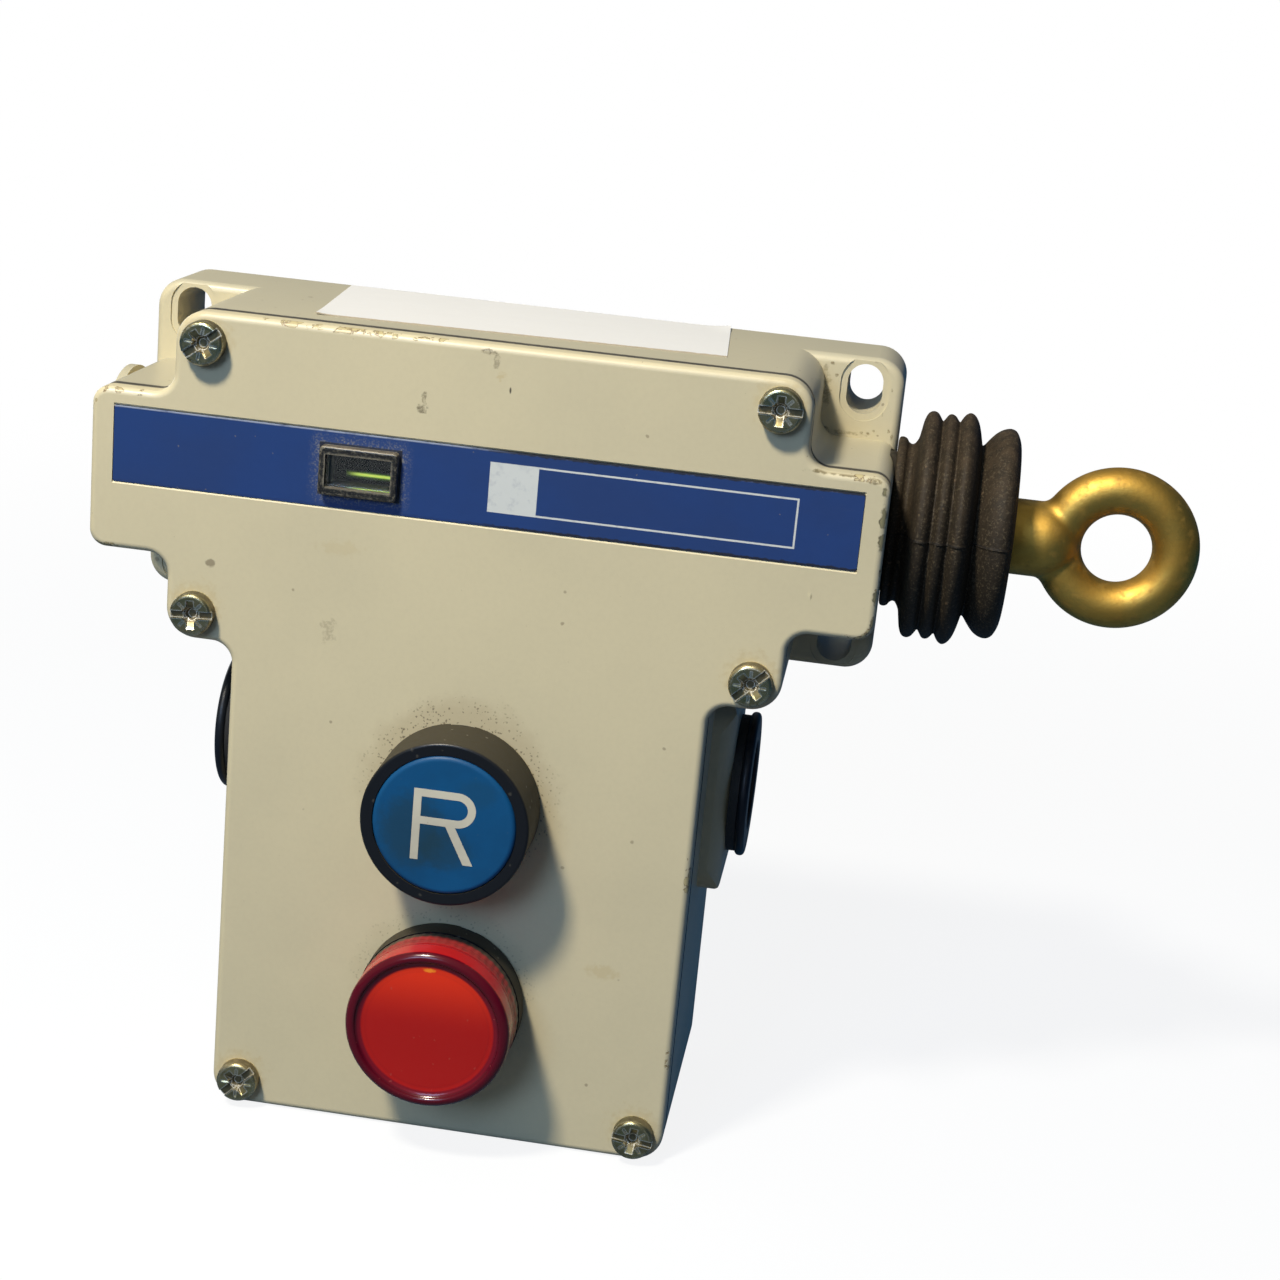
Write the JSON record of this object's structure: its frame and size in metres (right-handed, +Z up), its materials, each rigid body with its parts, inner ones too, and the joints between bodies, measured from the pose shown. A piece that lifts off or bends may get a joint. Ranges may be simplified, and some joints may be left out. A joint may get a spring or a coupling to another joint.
{
  "type": "rope pull switch",
  "caption": "Wall-mounted safety rope pull switch: T-shaped die-cast box with a sprung shaft and ring eye, bellows, window, reset button and pilot light.",
  "frame": {"origin": "centre of the four mounting slots, on the back mounting face", "axes": "+X along the rope towards the eye, +Y into the mounting surface (the cover faces -Y), +Z up as mounted"},
  "size_m": [0.1913, 0.0619, 0.1427],
  "materials": {
    "cast_paint": "satin beige paint",
    "cap_beige": "satin",
    "strip_blue": "satin print on aluminium",
    "black_plastic": "satin",
    "window_clear": "clear",
    "zinc": "zinc plated",
    "steel": "plain",
    "spring_steel": "plain",
    "yellow_zinc": "yellow passivated, satin",
    "bronze": "plain",
    "rubber_black": "matt",
    "gasket_rubber": "matt",
    "blue_plastic": "satin",
    "red_lens": "translucent gloss",
    "green_mark": "matt",
    "nylon": "natural",
    "dark_plastic": "moulded",
    "contact_brass": "plain",
    "bulb_glass": "clear"
  },
  "bodies": {
    "root": {"housing": "cast_paint", "cover": "cast_paint", "cover_gasket": "gasket_rubber", "cover_screws": "zinc", "label_strip": "strip_blue", "window_frame": "black_plastic", "window": "window_clear", "end_cap": "cap_beige", "cable_plugs": "black_plastic", "plug_seals": "gasket_rubber", "outer_bush": "bronze", "mechanism_frame": "steel", "frame_screws": "zinc", "inner_bush": "bronze", "contact_block_left": "dark_plastic", "contact_block_right": "dark_plastic", "fixed_contacts": "contact_brass", "terminal_screws": "zinc", "contact_springs": "spring_steel", "main_spring": "spring_steel", "latch_pin": "steel", "latch_spring": "spring_steel", "earth_screw": "zinc", "reset_bezel": "black_plastic", "reset_seal": "gasket_rubber", "reset_lock_nut": "black_plastic", "reset_spring": "spring_steel", "lamp_bezel": "black_plastic", "lamp_seal": "gasket_rubber", "lamp_lock_nut": "black_plastic", "lamp_holder": "dark_plastic", "lamp_bulb": "bulb_glass", "lamp_lens": "red_lens", "bellows": "rubber_black"},
    "shaft": {"pull_shaft": "steel", "eye": "yellow_zinc", "cam_sleeve": "steel", "spring_washer": "zinc", "tension_nuts": "zinc", "indicator_flag": "dark_plastic", "indicator_marks": "green_mark"},
    "contacts": {"contact_slider": "dark_plastic", "contact_plungers": "nylon", "contact_bridges": "contact_brass"},
    "latch": {"latch_lever": "steel"},
    "reset": {"reset_cap": "blue_plastic", "reset_stem": "nylon"}
  },
  "joints": [
    {"name": "rope_pull", "type": "slide", "parent": "root", "child": "shaft", "axis": [1, 0, 0], "range_m": [0, 0.016], "stiffness_N_per_m": 4000, "springref_m": -0.01, "deforming": ["bellows", "main_spring"]},
    {"name": "contact_slide", "type": "slide", "parent": "root", "child": "contacts", "axis": [0, 0, -1], "range_m": [0, 0.002], "stiffness_N_per_m": 400, "springref_m": -0.002, "deforming": ["contact_springs"]},
    {"name": "reset_push", "type": "slide", "parent": "root", "child": "reset", "axis": [0, 1, 0], "range_m": [0, 0.004], "stiffness_N_per_m": 800, "springref_m": -0.004, "deforming": ["reset_spring", "latch_spring"]},
    {"name": "latch_swing", "type": "hinge", "parent": "root", "child": "latch", "pos_m": [0, -0.015, -0.036], "axis": [1, 0, 0], "range_deg": [0, 15], "stiffness_Nm_per_rad": 0.2, "springref_deg": -5.73}
  ],
  "couplings": [
    {"joint": "contact_slide", "follows": "rope_pull", "ratio": 0.125},
    {"joint": "latch_swing", "follows": "reset_push", "rad_per_m": 64.5}
  ]
}
